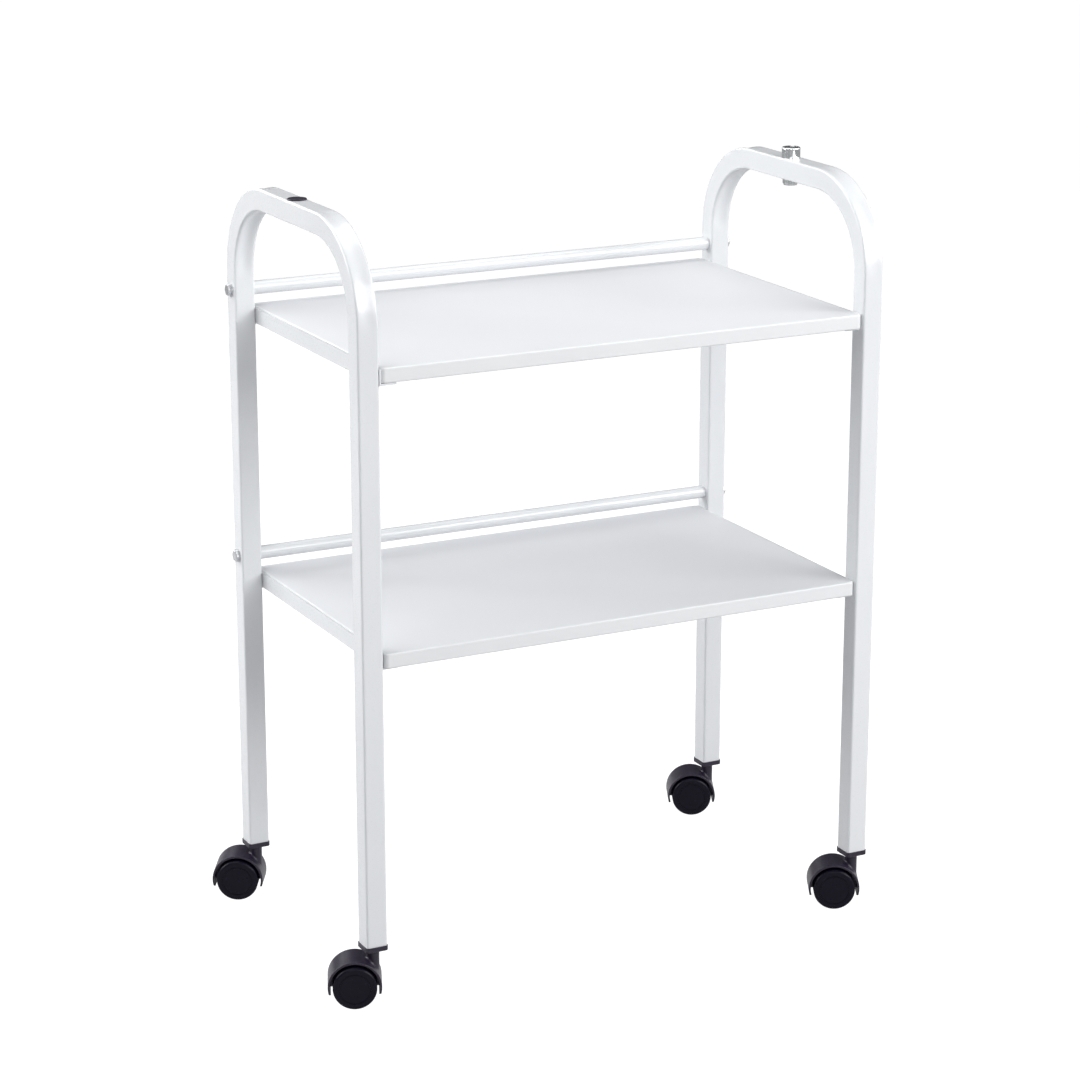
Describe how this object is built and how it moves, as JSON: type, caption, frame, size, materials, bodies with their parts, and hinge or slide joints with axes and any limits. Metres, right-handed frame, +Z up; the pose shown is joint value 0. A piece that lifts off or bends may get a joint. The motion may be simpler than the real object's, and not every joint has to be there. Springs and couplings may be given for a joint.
{
  "type": "rolling salon trolley",
  "caption": "Rolling trolley with laminated shelves between bent square-tube side frames, back rails, a lamp socket and hooded swivel casters.",
  "frame": {"origin": "on the floor, in the middle of the whole footprint with the casters as they stand", "axes": "+X to the right, +Y to the back where the rails are, +Z up"},
  "size_m": [0.7026, 0.4149, 0.8945],
  "materials": {
    "white_paint": "semi-gloss white powder coat",
    "shelf_laminate": "satin white melamine laminate on chipboard",
    "shelf_edging": "satin white plastic edging",
    "black_plastic": "satin black moulded plastic",
    "wheel_nylon": "satin black nylon",
    "chrome": "polished chrome",
    "zinc_steel": "bright zinc plating"
  },
  "bodies": {
    "frame": {"front_left_caster_stem": "zinc_steel", "front_left_leg_insert": "black_plastic", "front_right_caster_stem": "zinc_steel", "front_right_leg_insert": "black_plastic", "lamp_hole_plug": "black_plastic", "lamp_socket": "chrome", "lamp_socket_nut": "chrome", "lamp_socket_washer": "chrome", "left_side_frame": "white_paint", "lower_back_rail": "white_paint", "lower_left_shelf_support": "white_paint", "lower_rail_bolts": "zinc_steel", "lower_rail_end_nuts": "zinc_steel", "lower_rail_washers": "zinc_steel", "lower_right_shelf_support": "white_paint", "lower_shelf_board": "shelf_laminate", "lower_shelf_edging": "shelf_edging", "lower_shelf_screws": "zinc_steel", "rear_left_caster_stem": "zinc_steel", "rear_left_leg_insert": "black_plastic", "rear_right_caster_stem": "zinc_steel", "rear_right_leg_insert": "black_plastic", "right_side_frame": "white_paint", "upper_back_rail": "white_paint", "upper_left_shelf_support": "white_paint", "upper_rail_bolts": "zinc_steel", "upper_rail_end_nuts": "zinc_steel", "upper_rail_washers": "zinc_steel", "upper_right_shelf_support": "white_paint", "upper_shelf_board": "shelf_laminate", "upper_shelf_edging": "shelf_edging", "upper_shelf_screws": "zinc_steel"},
    "front_left_caster": {"front_left_caster_hood": "black_plastic", "front_left_caster_axle": "zinc_steel"},
    "front_left_near_wheel": {"front_left_near_wheel": "wheel_nylon"},
    "front_left_far_wheel": {"front_left_far_wheel": "wheel_nylon"},
    "front_right_caster": {"front_right_caster_hood": "black_plastic", "front_right_caster_axle": "zinc_steel"},
    "front_right_near_wheel": {"front_right_near_wheel": "wheel_nylon"},
    "front_right_far_wheel": {"front_right_far_wheel": "wheel_nylon"},
    "rear_left_caster": {"rear_left_caster_hood": "black_plastic", "rear_left_caster_axle": "zinc_steel"},
    "rear_left_near_wheel": {"rear_left_near_wheel": "wheel_nylon"},
    "rear_left_far_wheel": {"rear_left_far_wheel": "wheel_nylon"},
    "rear_right_caster": {"rear_right_caster_hood": "black_plastic", "rear_right_caster_axle": "zinc_steel"},
    "rear_right_near_wheel": {"rear_right_near_wheel": "wheel_nylon"},
    "rear_right_far_wheel": {"rear_right_far_wheel": "wheel_nylon"}
  },
  "joints": [
    {"name": "front_left_swivel", "type": "hinge", "parent": "frame", "child": "front_left_caster", "pos_m": [-0.29622, -0.18482, 0.0631], "axis": [0, 0, 1], "continuous": true},
    {"name": "front_left_near_roll", "type": "hinge", "parent": "front_left_caster", "child": "front_left_near_wheel", "pos_m": [-0.31555, -0.17661, 0.025], "axis": [0.3907, 0.9205, 0], "continuous": true},
    {"name": "front_left_far_roll", "type": "hinge", "parent": "front_left_caster", "child": "front_left_far_wheel", "pos_m": [-0.31555, -0.17661, 0.025], "axis": [0.3907, 0.9205, 0], "continuous": true},
    {"name": "front_right_swivel", "type": "hinge", "parent": "frame", "child": "front_right_caster", "pos_m": [0.33378, -0.18482, 0.0631], "axis": [0, 0, 1], "continuous": true},
    {"name": "front_right_near_roll", "type": "hinge", "parent": "front_right_caster", "child": "front_right_near_wheel", "pos_m": [0.31515, -0.17512, 0.025], "axis": [0.4617, 0.887, 0], "continuous": true},
    {"name": "front_right_far_roll", "type": "hinge", "parent": "front_right_caster", "child": "front_right_far_wheel", "pos_m": [0.31515, -0.17512, 0.025], "axis": [0.4617, 0.887, 0], "continuous": true},
    {"name": "rear_left_swivel", "type": "hinge", "parent": "frame", "child": "rear_left_caster", "pos_m": [-0.29622, 0.16518, 0.0631], "axis": [0, 0, 1], "continuous": true},
    {"name": "rear_left_near_roll", "type": "hinge", "parent": "rear_left_caster", "child": "rear_left_near_wheel", "pos_m": [-0.31459, 0.17536, 0.025], "axis": [0.4848, 0.8746, 0], "continuous": true},
    {"name": "rear_left_far_roll", "type": "hinge", "parent": "rear_left_caster", "child": "rear_left_far_wheel", "pos_m": [-0.31459, 0.17536, 0.025], "axis": [0.4848, 0.8746, 0], "continuous": true},
    {"name": "rear_right_swivel", "type": "hinge", "parent": "frame", "child": "rear_right_caster", "pos_m": [0.33378, 0.16518, 0.0631], "axis": [0, 0, 1], "continuous": true},
    {"name": "rear_right_near_roll", "type": "hinge", "parent": "rear_right_caster", "child": "rear_right_near_wheel", "pos_m": [0.31483, 0.17422, 0.025], "axis": [0.4305, 0.9026, 0], "continuous": true},
    {"name": "rear_right_far_roll", "type": "hinge", "parent": "rear_right_caster", "child": "rear_right_far_wheel", "pos_m": [0.31483, 0.17422, 0.025], "axis": [0.4305, 0.9026, 0], "continuous": true}
  ]
}
